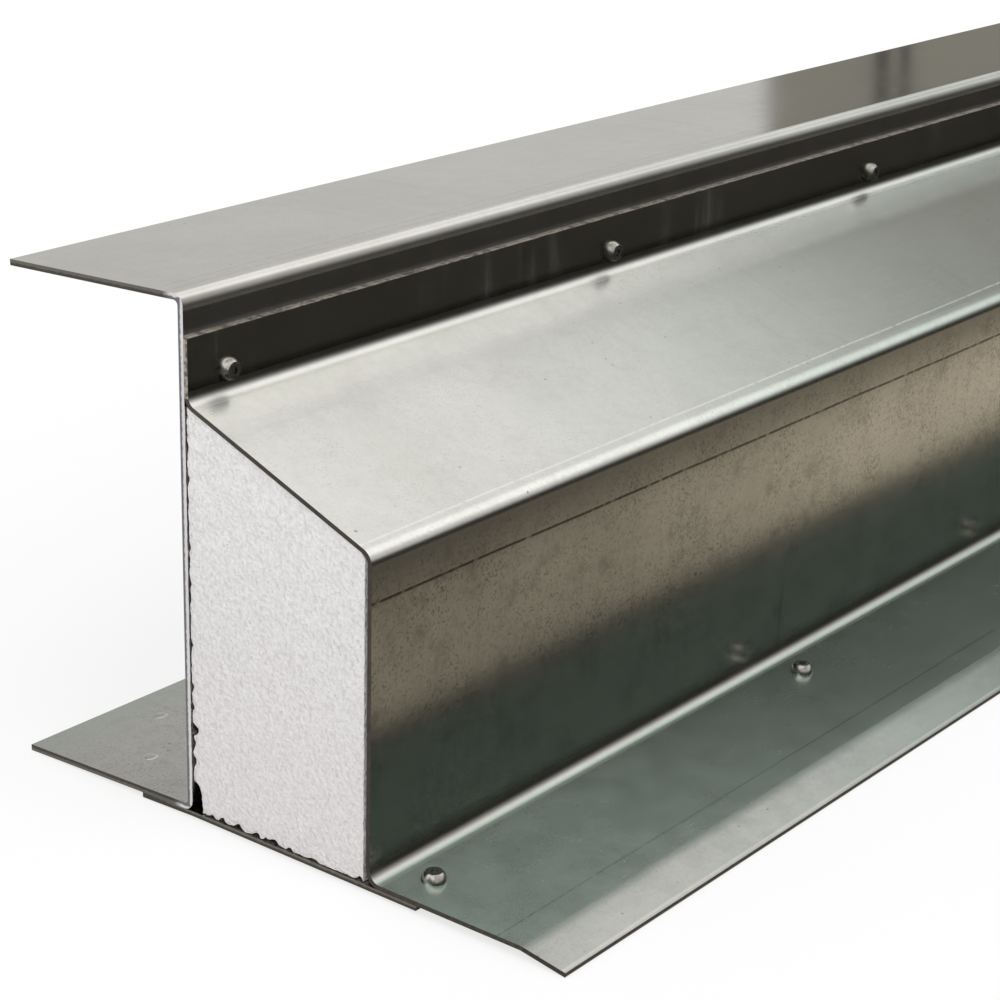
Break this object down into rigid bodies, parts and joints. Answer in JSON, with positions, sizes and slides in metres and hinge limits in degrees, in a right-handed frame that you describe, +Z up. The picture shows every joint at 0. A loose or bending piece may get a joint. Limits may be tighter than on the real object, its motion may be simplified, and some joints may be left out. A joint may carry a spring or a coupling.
{
  "type": "cavity wall lintel",
  "caption": "Insulated steel lintel for a cavity wall: a folded channel carries the inner leaf, a riveted front plate with a drip carries the outer leaf, and a foam core fills the box.",
  "frame": {"origin": "under the middle of the lintel, on the level that carries the lower edges of both flanges", "axes": "+X along the length, +Y towards the inner leaf (the open side of the channel), -Y towards the outer leaf and the drip, +Z up"},
  "size_m": [1.2, 0.278, 0.2128],
  "materials": {
    "channel_steel": "satin folded sheet",
    "front_steel": "satin folded sheet",
    "base_steel": "satin sheet",
    "foam": "white expanded foam beads, cut face",
    "rivet_steel": "bright domed head"
  },
  "bodies": {
    "root": {"inner_channel": "channel_steel", "front_plate": "front_steel", "base_plate": "base_steel", "insulation_core": "foam", "upstand_rivet_1": "rivet_steel", "upstand_rivet_2": "rivet_steel", "upstand_rivet_3": "rivet_steel", "upstand_rivet_4": "rivet_steel", "upstand_rivet_5": "rivet_steel", "upstand_rivet_6": "rivet_steel", "flange_rivet_1": "rivet_steel", "flange_rivet_2": "rivet_steel", "flange_rivet_3": "rivet_steel", "flange_rivet_4": "rivet_steel", "flange_rivet_5": "rivet_steel", "flange_rivet_6": "rivet_steel"}
  },
  "joints": []
}
